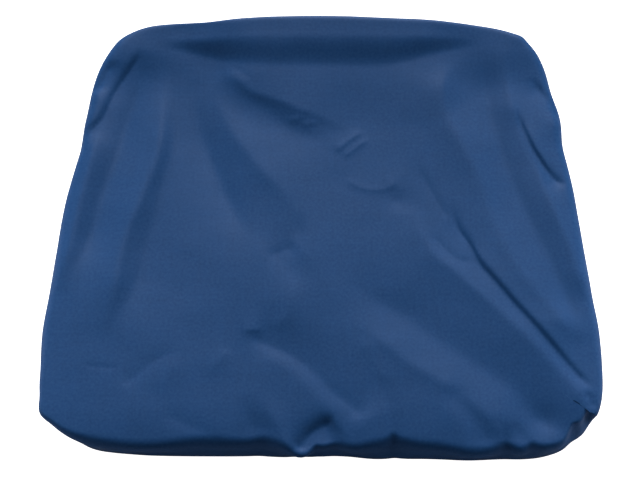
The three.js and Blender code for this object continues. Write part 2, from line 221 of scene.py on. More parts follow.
FRONT_FOLDS = [
    Fold("upper diagonal ridge", 3.7, 15, 46, 2.4, 110, 30,
         [(96, 40), (104, 10), (116, -20), (130, -43), (150, -62), (175, -87), (200, -112), (225, -138),
          (250, -166), (272, -191), (290, -216), (299, -233)]),
    Fold("lower diagonal trough", -4.6, 46, 30, 8, 122, 30,
         [(5, -40), (35, -70), (65, -95), (100, -118), (125, -138), (150, -155), (175, -172),
          (200, -190), (225, -212), (244, -235), (256, -257)]),
    Fold("front diagonal ridge", 2.9, 30, 15, 5, 70, 20,
         [(30, -108), (50, -127), (75, -150), (100, -171), (130, -190), (150, -205), (170, -221),
          (188, -238), (204, -258)]),
    Fold("corner hollow", -3.8, 26, 26, 6, 60, 10, [(196, -202), (232, -228), (266, -250), (302, -280)]),
    Fold("front right dimple", -2, 12, 14, 5, 20, 20,
         [(138, -192), (151, -210), (163, -228), (174, -243), (186, -272)]),
    Fold("front finger notch", -1.2, 6, 7, 2, 16, 30, [(190, -228), (197, -245), (202, -262), (206, -300)]),
    Fold("small right dimple", -1, 5, 7, 2, 14, 30, [(205, -236), (214, -248), (225, -262), (232, -300)]),
    Fold("front right swell", 2, 24, 20, 6, 60, 40, [(112, -186), (136, -218), (154, -248), (172, -310)]),
    Fold("soft streak", 0.8, 14, 10, 4, 16, 20, [(46, -138), (56, -158), (66, -178), (76, -200)]),
    Fold("right corner slit", -2, 2.2, 5, 1, 5, 6, [(291, -202), (294, -211), (298, -223)]),
    Fold("lower left trough", -2.9, 50, 12, 2, 24, 16,
         [(-84, -137), (-60, -147), (-40, -156), (-20, -168), (0, -187), (15, -203), (35, -219),
          (50, -236)]),
    Fold("lower left ridge", 0.8, 9, 20, 2.6, 24, 16,
         [(-70, -158), (-40, -174), (-20, -191), (-5, -207), (7, -222), (18, -238)]),
    Fold("short tuck", 1.3, 56, 4, 1, 16, 14, [(-92, -131), (-82, -131), (-70, -131), (-58, -130)]),
    Fold("upright ridge", 2.2, 50, 12, 1.4, 50, 30,
         [(-29, -52), (-31, -66), (-30, -80), (-33, -100), (-38, -116), (-48, -125), (-64, -130)]),
    Fold("corner to corner crease", -1, 11, 6, 1.6, 10, 40,
         [(-214, -198), (-204, -187), (-194, -178), (-183, -168), (-170, -161), (-150, -151)]),
    Fold("crease across it", 0.7, 12, 14, 3, 20, 20,
         [(-182, -206), (-170, -190), (-158, -172), (-149, -162)]),
    Fold("low short ridge", 0.8, 9, 7, 1.6, 24, 10, [(-128, -186), (-118, -176), (-108, -164), (-98, -154)]),
    Fold("thin line", -0.35, 2, 2, 1.2, 12, 12, [(-262, -172), (-240, -175), (-218, -176)]),
]
MIDDLE_FOLDS = [
    Fold("middle trough", -5, 26, 22, 5, 150, 90,
         [(-165, 215), (-152, 182), (-145, 145), (-134, 106), (-122, 72), (-110, 42), (-97, 12), (-82, -15),
          (-62, -38)]),
    Fold("middle ridge", 5, 52, 26, 4, 130, 95,
         [(-142, 208), (-129, 180), (-118, 152), (-107, 126), (-93, 101), (-77, 79), (-62, 59), (-45, 40),
          (-28, 15), (-15, -12)]),
    Fold("panel edge", 3.3, 60, 80, 14, 100, 100,
         [(-8, 55), (-14, 20), (-20, -20), (-27, -60), (-40, -105), (-60, -130), (-95, -148)]),
    Fold("middle hollow", -2.2, 12, 72, 1.6, 14, 12,
         [(-64, -42), (-52, -40), (-42, -36), (-33, -31), (-24, -29)]),
    Fold("hollow's upright side", -1.6, 5, 26, 1.4, 30, 40,
         [(-20, 14), (-22, 0), (-23, -20), (-25, -38), (-33, -52)]),
    Fold("stay trough", -2.2, 18, 40, 6, 40, 50,
         [(-113, 182), (-101, 173), (-90, 162), (-78, 152), (-65, 142), (-55, 133), (-45, 125), (-33, 117),
          (-20, 110), (-4, 104), (20, 96)]),
    Fold("stay ridge", 5.2, 120, 16, 1.4, 40, 110,
         [(-124, 194), (-112, 189), (-100, 183), (-90, 174), (-80, 165), (-66, 159), (-50, 153), (-38, 148),
          (-28, 143), (-14, 138), (0, 133), (18, 125), (36, 114), (50, 100)]),
    Fold("stay crumple", 0.8, 4, 6, 1, 6, 6, [(-38, 127), (-28, 130), (-18, 132)]),
    Fold("small stay crumple", 0.7, 4, 6, 1, 6, 6, [(-22, 121), (-12, 124), (-2, 126)]),
    Fold("upper thin crease", -0.45, 3, 6, 1.6, 10, 14, [(-104, 199), (-92, 190), (-76, 177)]),
    Fold("short ridge", 1, 6, 2.6, 1, 8, 10, [(17, 87), (29, 98), (40, 107), (51, 114)]),
    Fold("second short ridge", 0.9, 5, 2.6, 1, 8, 10, [(26, 80), (38, 90), (49, 99), (58, 104)]),
    Fold("arc ridge", 0.6, 8, 2.4, 1.4, 14, 10,
         [(30, 58), (37, 48), (47, 43), (61, 40), (75, 42), (82, 45), (88, 54)]),
    Fold("arc end", 0.3, 5, 12, 1.4, 8, 10, [(78, 40), (87, 53), (94, 57), (101, 51)]),
    Fold("dent beside the arc", -1.2, 12, 9, 4, 20, 20, [(92, 44), (88, 26), (90, 8)]),
]
LEFT_FOLDS = [
    Fold("left shoulder", 4.5, 42, 16, 4, 30, 40,
         [(-222, 256), (-242, 230), (-256, 198), (-265, 160), (-270, 122), (-276, 90)]),
    Fold("left edge ridge", 5.5, 18, 9, 3, 60, 70,
         [(-250, 134), (-258, 100), (-264, 70), (-270, 40), (-275, 10), (-279, -15), (-283, -40),
          (-289, -72), (-293, -100)]),
    Fold("left edge trough", -7.5, 34, 17, 5, 120, 80,
         [(-200, 232), (-207, 190), (-214, 162), (-222, 135), (-230, 100), (-240, 65), (-249, 30),
          (-255, 0), (-261, -25), (-270, -52), (-284, -80)]),
    Fold("left ridge", 7.2, 18, 26, 3, 110, 80,
         [(-184, 205), (-182, 168), (-183, 130), (-184, 105), (-188, 80), (-195, 55), (-203, 30), (-211, 8),
          (-217, -10), (-222, -32), (-226, -60), (-229, -90), (-234, -120), (-238, -145)]),
    Fold("left trough", -4.3, 40, 18, 4, 110, 80,
         [(-172, 205), (-169, 165), (-168, 120), (-169, 95), (-174, 72), (-180, 45), (-184, 20), (-188, 0),
          (-196, -30), (-201, -60), (-208, -85), (-216, -108), (-220, -140)]),
    Fold("left side crease", -3.2, 34, 2, 1.4, 24, 20,
         [(-208, 222), (-215, 208), (-222, 197), (-229, 186), (-236, 174), (-241, 164), (-246, 151),
          (-250, 140), (-256, 129), (-264, 119), (-274, 102)]),
    Fold("left top crease", -4, 12, 1.8, 1.4, 14, 14,
         [(-242, 208), (-247, 199), (-252, 188), (-257, 177), (-264, 163)]),
]
RIM_FOLDS = [
    Fold("back left ease", -2.6, 20, 90, 6, 40, 40, [(-196, 244), (-150, 247), (-96, 248)]),
    Fold("front sag", -3, 50, 60, 6, 40, 40, [(-96, -236), (-50, -246), (0, -248), (52, -244)]),
    Fold("front pocket", -5.6, 6, 56, 2, 14, 10,
         [(-30, -275), (-21, -262), (-12, -251), (-2, -243), (8, -238), (17, -236)]),
    Fold("left front tuck", -1.1, 14, 8, 3, 24, 20, [(-176, -226), (-150, -238), (-120, -252), (-96, -270)]),
    Fold("front bulge", 3, 18, 14, 5, 60, 25, [(-72, -190), (-54, -228), (-40, -255), (-30, -305)]),
    Fold("front left dent", -1.8, 12, 12, 4, 40, 25, [(-86, -205), (-75, -235), (-70, -262), (-68, -305)]),
    Fold("pocket lobe", 0.2, 7, 7, 4, 12, 15, [(12, -252), (9, -264), (5, -278), (2, -314)]),
    Fold("front dent", -1.6, 12, 10, 4, 70, 20, [(66, -180), (75, -215), (80, -245), (82, -310)]),
]
FOLDS = RIGHT_FOLDS + FRONT_FOLDS + MIDDLE_FOLDS + LEFT_FOLDS + RIM_FOLDS

# A path is smoothed and cut into even steps, and where it bends the directions of neighbouring steps
# blend. A fold reaches out to some times the width of its wider flank, and fans out at its ends.
PATH_SAMPLES = 12
PATH_STEP = 9.0
BEND_BLEND = 5.0
FOLD_REACH = 5.0
FAN_OUT = 0.9

# Net points are drawn in to the lines of folds with a flank no wider than this, and not at the rim.
CRISP_FLANK = 4.0
DRAW_REACH = 9.0
DRAW_FIELD = 3.0 * DRAW_REACH
DRAW_SHARE = 0.55
DRAW_STOPS_AT = 0.93

# Unevenness of the drawn cloth: wave length, height and seed of each layer, and the size of the field
# that its random heights cover.
Ripple = namedtuple("Ripple", "name length height seed")
RIPPLES = [
    Ripple("sway", 74, 0.4, 3),
    Ripple("slack", 31, 0.26, 7),
    Ripple("rumple", 13, 0.1, 11),
]
RIPPLE_FIELD = 1600
RIPPLE_MARGIN = 8

# Steps of the skirt: where it rolls over the edge, its upright wall, where it tucks in, and its hem.
ROLL_STEPS = 7
WALL_STEPS = 5
TUCK_STEPS = 6
HEM_STEPS = 6

# Wide waves of the lower skirt and fine gathers of the hem. They start at a length down the cloth, and
# slow waves that go a few times round the cover change their spacing and their size.
Slow = namedtuple("Slow", "size turns start")
WAVE_COUNT = 23
WAVE_START = 18.0
WAVE_SPACING = [Slow(1.3, 4, 0.6), Slow(0.9, 9, 0.0)]
WAVE_MIDDLE_SIZE = 0.55
WAVE_SWELL = Slow(0.45, 6, 1.0)
GATHER_START = 44.0
GATHER_SPACING = [Slow(2.2, 4, 0.4), Slow(1.1, 11, 0.0)]
GATHER_SWELLS = 7
GATHER_SWELL_START = 0.8
GATHER_PINCH = 1.4

# The row of stitches lies some steps in from the free edge, and sinks a little into the cloth. Each
# stitch is a ball of a few faces, drawn out along the row.
STITCH_STEPS_IN = 3
STITCH_SINK = 0.15
STITCH_SIDES = 6
STITCH_RINGS = 5

# Cloth: scales of its slubs, clouds and grain per metre of cloth, how much each changes its tone, and
# the relief of its threads.
SLUB_SCALE = 160.0
SLUB_STRETCHES = [(1.0, 0.12, 1.0), (0.12, 1.0, 1.0)]
SLUB_TONE = 0.25
CLOUD_SCALE = 9.0
CLOUD_DETAIL = 3.0
CLOUD_TONE = 0.16
GRAIN_SCALE = 320.0
GRAIN_DETAIL = 1.0
RELIEF_STRENGTH = 0.35
RELIEF_DEPTH = 0.12
SLUB_RELIEF = 1.6

# Sewing thread: its finish, and how finely and how strongly its twist changes its tone.
THREAD_ROUGHNESS = 0.55
TWIST_SCALE = 2600.0
TWIST_TONE = 0.5

# Stage: how far the floor reaches each way in metres, its finish, and the camera's sensor in millimetres.
FLOOR_REACH = 4.0
FLOOR_ROUGHNESS = 0.8
SENSOR_WIDTH = 36.0
WHITE = (1.0, 1.0, 1.0, 1.0)


def smooth_step(value, start=0.0, end=1.0):
    t = np.clip((value - start) / (end - start), 0.0, 1.0)
    return t * t * (3.0 - 2.0 * t)


def nearness(places, spot, reach):
    """How near places are to a spot, from 0 to 1."""
    far = np.hypot(places[:, 0] - spot.x, places[:, 1] - spot.y) / reach
    return np.exp(-far * far)


def spaced(points, count):
    """The open line through points, cut into count even lengths, without its last point."""
    lengths = np.concatenate([[0.0], np.cumsum(np.linalg.norm(np.diff(points, axis=0), axis=1))])
    at = np.linspace(0.0, lengths[-1], count + 1)[:-1]
    return np.column_stack([np.interp(at, lengths, points[:, k]) for k in (0, 1)])


def edge_of_plan(first, second):
    """One edge of the plan between its two round corners, bowed out in the middle."""
    a = np.array([first.x, first.y], float)
    b = np.array([second.x, second.y], float)
    along = (b - a) / np.linalg.norm(b - a)
    start = a + along * first.cut_after
    end = b - along * second.cut_before
    out = np.array([along[1], -along[0]])
    t = np.linspace(0.0, 1.0, 2 * CORNER_SAMPLES + 1)[:, None]
    return start + (end - start) * t + out * first.bow * (1.0 - (2.0 * t - 1.0) ** 2) ** 2


def draw_plan(half_side):
    """The widest line of the skirt as a ring of points, anticlockwise from the front left corner."""
    quarters = []
    t = np.linspace(0.0, 1.0, CORNER_SAMPLES + 1)[1:, None]
    for k, corner in enumerate(CORNERS):
        before = edge_of_plan(CORNERS[k - 1], corner)[CORNER_SAMPLES:]
        after = edge_of_plan(corner, CORNERS[(k + 1) % 4])[:CORNER_SAMPLES + 1]
        tip = np.array([corner.x, corner.y], float)
        bend = (1.0 - t) ** 2 * before[-1] + 2.0 * t * (1.0 - t) * tip + t ** 2 * after[0]
        quarters.append(spaced(np.vstack([before, bend, after[1:]]), 2 * half_side))
    ring = np.roll(np.vstack(quarters), -half_side, axis=0)
    out = outward(ring)
    for swell in SWELLS:
        ring = ring + out * (swell.out * nearness(ring, swell, swell.width))[:, None]
    return ring


def outward(ring):
    """Directions that point out of the plan, averaged along it so that they fan out at the corners."""
    ahead = np.roll(ring, -1, axis=0) - np.roll(ring, 1, axis=0)
    raw = np.column_stack([ahead[:, 1], -ahead[:, 0]])
    raw /= np.linalg.norm(raw, axis=1, keepdims=True)
    step = np.linalg.norm(np.diff(ring, axis=0), axis=1).mean()
    reach = int(round(NORMAL_SPREAD / step))
    total = sum((reach + 1 - abs(k)) * np.roll(raw, k, axis=0) for k in range(-reach, reach + 1))
    return total / np.linalg.norm(total, axis=1, keepdims=True)


def top_height(places, rim_height):
    """Height of the top before its folds: level, with the proud rim along the back and its corners."""
    x, y = places[:, 0], places[:, 1]
    narrow = smooth_step(np.abs(x), BACK_RIM_NARROWS_FROM, BACK_RIM_NARROWS_TO)
    foot = BACK_RIM_FOOT_Y + BACK_RIM_NARROWING * narrow
    ends = smooth_step(np.abs(x), BACK_RIM_ENDS_FROM, BACK_RIM_ENDS_TO)
    steep = smooth_step(y, foot, BACK_RIM_CREST_Y) * (1.0 - ends)
    aside = smooth_step(np.abs(x - BACK_LEAD_MIDDLE_X) / BACK_LEAD_HALF_WIDTH - 1.0)
    lead_y = BACK_LEAD_Y + BACK_LEAD_LATER * aside
    lead = smooth_step(y, lead_y, BACK_RIM_CREST_Y)
    lead *= BACK_LEAD_SHARE * (1.0 - BACK_LEAD_SIDE_LOSS * aside)
    below = 1.0 - lead - (1.0 - BACK_LEAD_SHARE) * steep
    for rise in CORNER_RISES:
        reach_y = np.where(y < rise.y, rise.reach_front, rise.reach_side)
        far = np.hypot((x - rise.x) / rise.reach_side, (y - rise.y) / reach_y)
        fall = smooth_step(far - RISE_LEVEL_SHARE)
        below *= 1.0 - rise.share * (1.0 - fall)
    half_width = np.interp(y, *zip(*LID_HALF_WIDTHS))
    side = np.clip(1.0 - (half_width - np.abs(x)) / SIDE_FALL_REACH, 0.0, 1.0)
    front = np.clip(1.0 - (y - LID_FRONT_Y) / FRONT_FALL_REACH, 0.0, 1.0)
    back = smooth_step(y, BACK_TOP_FROM_Y, BACK_TOP_TO_Y)
    crown = BACK_TOP_RISE * back - SIDE_FALL * side ** 2 - FRONT_FALL * front ** 2
    return rim_height * (1.0 - below) + crown


def smooth_path(path):
    """A smooth line through the points of a path, in even steps."""
    p = np.array(path, float)
    p = np.vstack([2 * p[0] - p[1], p, 2 * p[-1] - p[-2]])
    t = np.linspace(0.0, 1.0, PATH_SAMPLES, endpoint=False)[:, None]
    line = []
    for a, b, c, d in zip(p, p[1:], p[2:], p[3:]):
        bend = (2 * a - 5 * b + 4 * c - d) * t ** 2 + (3 * b - a - 3 * c + d) * t ** 3
        line.append(0.5 * (2 * b + (c - a) * t + bend))
    line = np.vstack(line + [p[-2:-1]])
    length = np.linalg.norm(np.diff(line, axis=0), axis=1).sum()
    count = max(3, int(math.ceil(length / PATH_STEP)))
    return np.vstack([spaced(line, count), line[-1:]])


def follow(places, path):
    """For each place: its distance to the left of a path, how far along the path it is, and the
    direction square to the path, blended between the path's pieces so that no seam shows."""
    starts, steps = path[:-1], np.diff(path, axis=0)
    lengths = np.linalg.norm(steps, axis=1)
    ways = steps / lengths[:, None]
    before = np.concatenate([[0.0], np.cumsum(lengths)[:-1]])
    dx = places[:, :1] - starts[None, :, 0]
    dy = places[:, 1:] - starts[None, :, 1]
    along = dx * ways[:, 0] + dy * ways[:, 1]
    aside = ways[:, 0] * dy - ways[:, 1] * dx
    low, high = np.zeros(len(starts)), lengths.copy()
    low[0], high[-1] = -np.inf, np.inf
    over = along - np.clip(along, low, high)
    away = np.hypot(over, aside)
    weight = np.exp(-(away - away.min(axis=1, keepdims=True)) / BEND_BLEND)
    weight /= weight.sum(axis=1, keepdims=True)
    square = np.column_stack([-(weight @ ways[:, 1]), weight @ ways[:, 0]])
    return (weight * aside).sum(axis=1), (weight * (before + along)).sum(axis=1), square, lengths.sum()


def near(places, path, reach):
    """Which places lie within reach of a path's box."""
    low, high = path.min(axis=0) - reach, path.max(axis=0) + reach
    return np.all((places > low) & (places < high), axis=1)


def press_folds(places):
    """Height that the folds add at places on the flat cloth."""
    height = np.zeros(len(places))
    for fold in FOLDS:
        path = smooth_path(fold.path)
        inside = near(places, path, FOLD_REACH * max(fold.left, fold.right) + fold.soft)
        if not inside.any():
            continue
        aside, along, _, whole = follow(places[inside], path)
        width = np.where(aside > 0.0, fold.left, fold.right)
        shape = np.exp(-(np.hypot(aside, fold.soft) - fold.soft) / width)
        spread = FAN_OUT * np.abs(aside)
        fade_in = smooth_step((along + spread / 2) / (fold.fade_in + spread))
        fade = fade_in * smooth_step((whole - along + spread / 2) / (fold.fade_out + spread))
        height[inside] += fold.height * shape * fade
    return height


def draw_to_creases(places, share_of_top):
    """Moves the net's points towards crisp folds, so that their narrow flanks have enough points."""
    moved = places.copy()
    hold = 1.0 - smooth_step(share_of_top, DRAW_STOPS_AT)
    for fold in FOLDS:
        if min(fold.left, fold.right) > CRISP_FLANK:
            continue
        path = smooth_path(fold.path)
        inside = near(moved, path, DRAW_FIELD)
        if not inside.any():
            continue
        aside, along, square, whole = follow(moved[inside], path)
        fade = smooth_step(along / DRAW_REACH) * smooth_step((whole - along) / DRAW_REACH)
        pull = DRAW_SHARE * np.exp(-(aside / DRAW_REACH) ** 2) * fade * hold[inside]
        moved[inside] -= square * (aside * pull)[:, None]
    return moved


def ripple(places, layer):
    """Soft random waves of one size, from a grid of random heights joined by a smooth surface."""
    source = np.random.RandomState(layer.seed)
    size = int(RIPPLE_FIELD / layer.length) + RIPPLE_MARGIN
    grid = source.uniform(-1.0, 1.0, (size, size))
    at = places / layer.length + size / 2
    cell = np.floor(at).astype(int)
    part = at - cell

    def spline(t):
        """Weights of four neighbours in an even cubic spline."""
        return np.array([(1 - t) ** 3, 3 * t ** 3 - 6 * t ** 2 + 4,
                         -3 * t ** 3 + 3 * t ** 2 + 3 * t + 1, t ** 3]) / 6.0

    wx, wy = spline(part[:, 0]), spline(part[:, 1])
    total = np.zeros(len(places))
    for i in range(4):
        for j in range(4):
            rows = np.clip(cell[:, 0] + i - 1, 0, size - 1)
            columns = np.clip(cell[:, 1] + j - 1, 0, size - 1)
            total += wx[i] * wy[j] * grid[rows, columns]
    return 2.0 * layer.height * total


def all_ripples(places):
    return sum(ripple(places, layer) for layer in RIPPLES)


def slow_wave(angle, slow):
    return slow.size * np.sin(slow.turns * angle + slow.start)


def uneven_phase(angle, count, spacing):
    """Phase of a number of waves round the cover whose spacing changes slowly."""
    phase = count * angle
    for slow in spacing:
        phase = phase + slow_wave(angle, slow)
    return phase


def gathers(turn, past, whole, sizes):
    """Wide waves of the lower skirt and fine gathers of the hem, at a fraction of a turn round it."""
    angle = 2.0 * math.pi * turn
    waves = np.sin(uneven_phase(angle, WAVE_COUNT, WAVE_SPACING))
    wave_size = WAVE_MIDDLE_SIZE + slow_wave(angle, WAVE_SWELL)
    wave_growth = smooth_step(past, WAVE_START, whole)
    phase = uneven_phase(angle, sizes.gather_count, GATHER_SPACING)
    pinched = 1.0 - 2.0 * np.abs(np.sin(phase / 2.0)) ** GATHER_PINCH
    swell = 1.0 + slow_wave(angle, Slow(sizes.gather_unevenness, GATHER_SWELLS, GATHER_SWELL_START))
    growth = smooth_step(past, GATHER_START, whole)
    fine = sizes.gather_height / MM * swell * growth * pinched
    return sizes.wave_height / MM * wave_size * waves * wave_growth + fine


def roll_radii(plan, sizes):
    """How round the cloth turns over the lid's edge, round the plan."""
    faces_back = outward(plan)[:, 1]
    to_front = (sizes.front_roll_radius - sizes.side_roll_radius) * np.clip(-faces_back, 0.0, 1.0) ** 2
    to_back = (sizes.back_roll_radius - sizes.side_roll_radius) * np.clip(faces_back, 0.0, 1.0) ** 2
    radius = (sizes.side_roll_radius + to_front + to_back) / MM
    for tip in TIPS:
        radius *= 1.0 - (1.0 - tip.radius_share) * nearness(plan, tip, tip.reach)
    return radius


def skirt_stretches(plan, rise, sizes):
    """The cloth from the rim to the free edge: each stretch's lengths, turns and number of steps."""
    lean = sum(tip.lean * nearness(plan, tip, tip.reach) for tip in TIPS)
    roll_turn = math.pi + sizes.hem_rise - sizes.wall_turn - sizes.tuck_turn + lean
    tuck_turn = sizes.tuck_turn - lean
    level = np.zeros(len(plan))
    radius = roll_radii(plan, sizes)
    return [
        (radius * roll_turn, roll_turn, ROLL_STEPS),
        (sizes.wall_height / MM + rise - radius, level + sizes.wall_turn, WALL_STEPS),
        (sizes.tuck_radius / MM * tuck_turn, tuck_turn, TUCK_STEPS),
        (level + sizes.hem_depth / MM, level, HEM_STEPS),
    ]


def rim_waves(plan, out):
    """How far the line where the top turns into the skirt is moved, round the plan."""
    shift = np.zeros_like(plan)
    for wave in RIM_WAVES:
        near_by = nearness(plan, wave, wave.width)[:, None]
        shift += (out * wave.out + np.array([0.0, wave.back])) * near_by
    return shift


def turn_skirt(plan, rim, out, sizes):
    """Rings of places down the skirt, and the same rings on the flat cloth."""
    rise = top_height(rim, sizes.back_rim_height / MM)
    stretches = skirt_stretches(plan, rise, sizes)
    whole = sum(length for length, _, _ in stretches)
    turn = np.arange(len(rim)) / len(rim)
    heading, past, reach = np.zeros((3, len(rim)))
    height = rise.copy()
    waves = rim_waves(plan, out)
    rings, flats = [], []
    for length, bend, steps in stretches:
        step = length / steps
        for _ in range(steps):
            heading = heading + bend / steps / 2.0
            reach = reach + step * np.cos(heading)
            height = height - step * np.sin(heading)
            heading = heading + bend / steps / 2.0
            past = past + step
            flat = rim + out * past[:, None]
            proud = press_folds(flat) + all_ripples(flat) + gathers(turn, past, whole, sizes)
            back_in = smooth_step(past, RIM_WAVE_STARTS, RIM_WAVE_ENDS)
            sideways = reach + proud * np.sin(heading)
            place = rim + out * sideways[:, None] - waves * back_in[:, None]
            rings.append(np.column_stack([place, height + proud * np.cos(heading)]))
            flats.append(flat)
    return rings, flats


def net_of_top(plain_rim, waves, half_side):
    """Places of a square net whose border is the rim, row by row, and how far out each one is."""
    steps = np.arange(-half_side, half_side + 1)
    i, j = np.meshgrid(steps, steps)
    i, j = i.ravel(), j.ravel()
    ring = np.maximum(np.abs(i), np.abs(j))
    count = 8 * np.maximum(ring, 1)
    turn = np.where(j == -ring, i + ring, np.where(i == ring, j + 3 * ring,
                    np.where(j == ring, 5 * ring - i, 7 * ring - j))) / count
    turn = np.where(ring == 0, 0.0, turn) * len(plain_rim)
    low = np.floor(turn).astype(int) % len(plain_rim)
    high = (low + 1) % len(plain_rim)
    part = (turn - np.floor(turn))[:, None]
    share = ring / half_side
    waved = smooth_step(share, WAVED_FROM)[:, None]
    place = (plain_rim[low] * (1.0 - part) + plain_rim[high] * part) * share[:, None]
    return place + (waves[low] * (1.0 - part) + waves[high] * part) * waved, share


def border_numbers(half_side):
    """Numbers of the net's border points, anticlockwise from the front left corner."""
    width = 2 * half_side + 1
    side = np.arange(2 * half_side)
    last = width * width - 1
    return np.concatenate([side, (side + 1) * width - 1, last - side, last - width + 1 - side * width])


def shape_cloth(sizes):
    """Vertices, faces and flat places of the cloth's outer side, with the rings of its skirt."""
    half_side = sizes.half_side
    plan = draw_plan(half_side)
    out = outward(plan)
    waves = rim_waves(plan, out)
    plain_rim = plan - out * roll_radii(plan, sizes)[:, None]
    rim = plain_rim + waves
    flat, share = net_of_top(plain_rim, waves, half_side)
    flat = draw_to_creases(flat, share)
    height = top_height(flat, sizes.back_rim_height / MM) + press_folds(flat) + all_ripples(flat)
    verts = [np.column_stack([flat, height])]
    rings, flats = turn_skirt(plan, rim, out, sizes)

    width = 2 * half_side + 1
    corner = (np.arange(width - 1)[:, None] * width + np.arange(width - 1)).ravel()
    faces = [np.column_stack([corner, corner + 1, corner + width + 1, corner + width])]
    upper = border_numbers(half_side)
    for k in range(len(rings)):
        lower = width * width + k * len(rim) + np.arange(len(rim))
        faces.append(np.column_stack([lower, np.roll(lower, -1), np.roll(upper, -1), upper]))
        upper = lower
    return np.vstack(verts + rings) * MM, np.vstack(faces), np.vstack([flat] + flats), rings, flats


def centre_shift(sizes):
    """How far the outer side is lifted, so that the underside of the top's middle is at zero."""
    middle = np.zeros((1, 2))
    height = top_height(middle, sizes.back_rim_height / MM) + press_folds(middle)
    return CAD_CLOTH_THICKNESS - height[0]


def add_object(name, data):
    made = bpy.data.objects.new(name, data)
    bpy.context.scene.collection.objects.link(made)
    return made


def new_mesh(name, verts, edges, faces):
    mesh = bpy.data.meshes.new(name)
    mesh.from_pydata(verts, edges, faces)
    return mesh


def add_uv(mesh, flat):
    """Puts each point's place on the flat cloth, in metres, in a UV map."""
    layer = mesh.uv_layers.new(name=FLAT_MAP)
    numbers = np.zeros(len(mesh.loops), int)
    mesh.loops.foreach_get("vertex_index", numbers)
    layer.data.foreach_set("uv", (flat[numbers] * MM).ravel())


def plug(tree, node, inputs):
    """Gives a node's inputs, by name or number, a value or a link to another node's output."""
    for name, value in inputs.items():
        if isinstance(value, bpy.types.NodeSocket):
            tree.links.new(value, node.inputs[name])
        else:
            node.inputs[name].default_value = value


def add_node(tree, kind, inputs, **settings):
    node = tree.nodes.new(kind)
    for name, value in settings.items():
        setattr(node, name, value)
    plug(tree, node, inputs)
    return node


def calculate(tree, operation, *values):
    """Result of a math node."""
    return add_node(tree, "ShaderNodeMath", dict(enumerate(values)), operation=operation).outputs[0]


def noise(tree, place, scale, detail=2.0):
    """Soft random pattern, about a half on average."""
    inputs = {"Vector": place, "Scale": scale, "Detail": detail}
    return add_node(tree, "ShaderNodeTexNoise", inputs).outputs["Fac"]


def shade(tree, colour, amount):
    """A colour times an amount."""
    inputs = {0: colour[:3], "Scale": amount}
    return add_node(tree, "ShaderNodeVectorMath", inputs, operation="SCALE").outputs[0]


def new_group(name, kind, inputs, outputs):
    """A node group with named sockets. Returns it with the outputs of its input node and its end node."""
    group = bpy.data.node_groups.new(name, kind)
    for way, sockets in (("INPUT", inputs), ("OUTPUT", outputs)):
        for label, type_name in sockets.items():
            group.interface.new_socket(name=label, in_out=way, socket_type="NodeSocket" + type_name)
    enter = group.nodes.new("NodeGroupInput")
    leave = group.nodes.new("NodeGroupOutput")
    return group, enter.outputs, leave


def new_material(name):
    """A material with its node tree and its shader."""
    material = bpy.data.materials.new(name)
    material.use_nodes = True
    return material, material.node_tree, material.node_tree.nodes["Principled BSDF"]


def weave_group():
    """Plain weave: threads that pass over and under each other, with uneven thread thickness."""
    inputs = {"Flat Place": "Vector", "Threads per Metre": "Float", "Slub Scale": "Float"}
    outputs = {"Height": "Float", "Slub": "Float"}
    group, enter, leave = new_group("plain weave", "ShaderNodeTree", inputs, outputs)
    place = add_node(group, "ShaderNodeSeparateXYZ", {0: enter["Flat Place"]}).outputs
    turns = calculate(group, "MULTIPLY", enter["Threads per Metre"], math.pi)
    across = calculate(group, "SINE", calculate(group, "MULTIPLY", place["X"], turns))
    along = calculate(group, "SINE", calculate(group, "MULTIPLY", place["Y"], turns))
    height = calculate(group, "ABSOLUTE", calculate(group, "MULTIPLY", across, along))

    slubs = []
    for stretch in SLUB_STRETCHES:
        inputs = {"Vector": enter["Flat Place"], "Scale": stretch}
        stretched = add_node(group, "ShaderNodeMapping", inputs).outputs[0]
        slubs.append(noise(group, stretched, enter["Slub Scale"]))
    both = calculate(group, "ADD", *slubs)
    plug(group, leave, {"Height": height, "Slub": calculate(group, "MULTIPLY", both, 0.5)})
    return group


def cloth_material(looks):
    """Closely woven synthetic cloth with a dull sheen."""
    material, tree, shader = new_material("navy woven cloth")
    flat = add_node(tree, "ShaderNodeUVMap", {}, uv_map=FLAT_MAP).outputs["UV"]
    weave = add_node(tree, "ShaderNodeGroup", {}, node_tree=weave_group())
    threads = looks.threads_per_metre
    plug(tree, weave, {"Flat Place": flat, "Threads per Metre": threads, "Slub Scale": SLUB_SCALE})
    slub = weave.outputs["Slub"]

    cloud = noise(tree, flat, CLOUD_SCALE, CLOUD_DETAIL)
    uneven = calculate(tree, "ADD", calculate(tree, "MULTIPLY", slub, SLUB_TONE),
                       calculate(tree, "MULTIPLY", cloud, CLOUD_TONE))
    tone = calculate(tree, "ADD", uneven, 1.0 - 0.5 * (SLUB_TONE + CLOUD_TONE))
    grain = calculate(tree, "SUBTRACT", noise(tree, flat, GRAIN_SCALE, GRAIN_DETAIL), 0.5)
    colours = {0: shade(tree, looks.cloth_colour, tone), 1: shade(tree, looks.grain_colour, grain)}
    mixed = add_node(tree, "ShaderNodeVectorMath", colours, operation="ADD")

    relief = calculate(tree, "ADD", weave.outputs["Height"],
                       calculate(tree, "MULTIPLY", slub, SLUB_RELIEF))
    inputs = {"Height": relief, "Strength": RELIEF_STRENGTH, "Distance": RELIEF_DEPTH * MM}
    bump = add_node(tree, "ShaderNodeBump", inputs)
    plug(tree, shader, {
        "Base Color": mixed.outputs[0],
        "Roughness": looks.cloth_roughness,
        "Specular IOR Level": looks.cloth_gloss,
        "Normal": bump.outputs["Normal"],
    })
    return material


